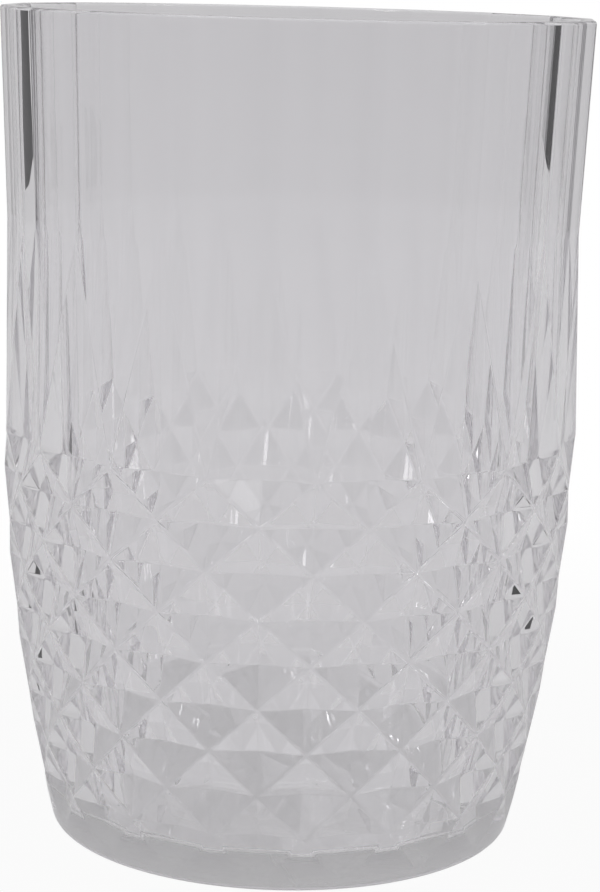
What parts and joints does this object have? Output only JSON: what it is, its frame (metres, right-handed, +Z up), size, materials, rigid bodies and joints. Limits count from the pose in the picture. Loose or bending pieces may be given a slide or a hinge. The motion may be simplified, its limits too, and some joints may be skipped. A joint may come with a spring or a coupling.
{
  "type": "tumbler cup",
  "caption": "Clear plastic drinking tumbler in one piece: diamond pits on the lower half, tall pointed hollows and flat upright panels above, a smooth bore and a thick floor.",
  "frame": {"origin": "centre of the foot, on the surface that the cup stands on", "axes": "+Z up along the centre line; -Y through the middle of one upright panel"},
  "size_m": [0.0852, 0.084, 0.1198],
  "materials": {
    "clear_plastic": "clear moulded plastic, glossy, with a faint grey tint"
  },
  "bodies": {
    "root": {"tumbler": "clear_plastic"}
  },
  "joints": []
}
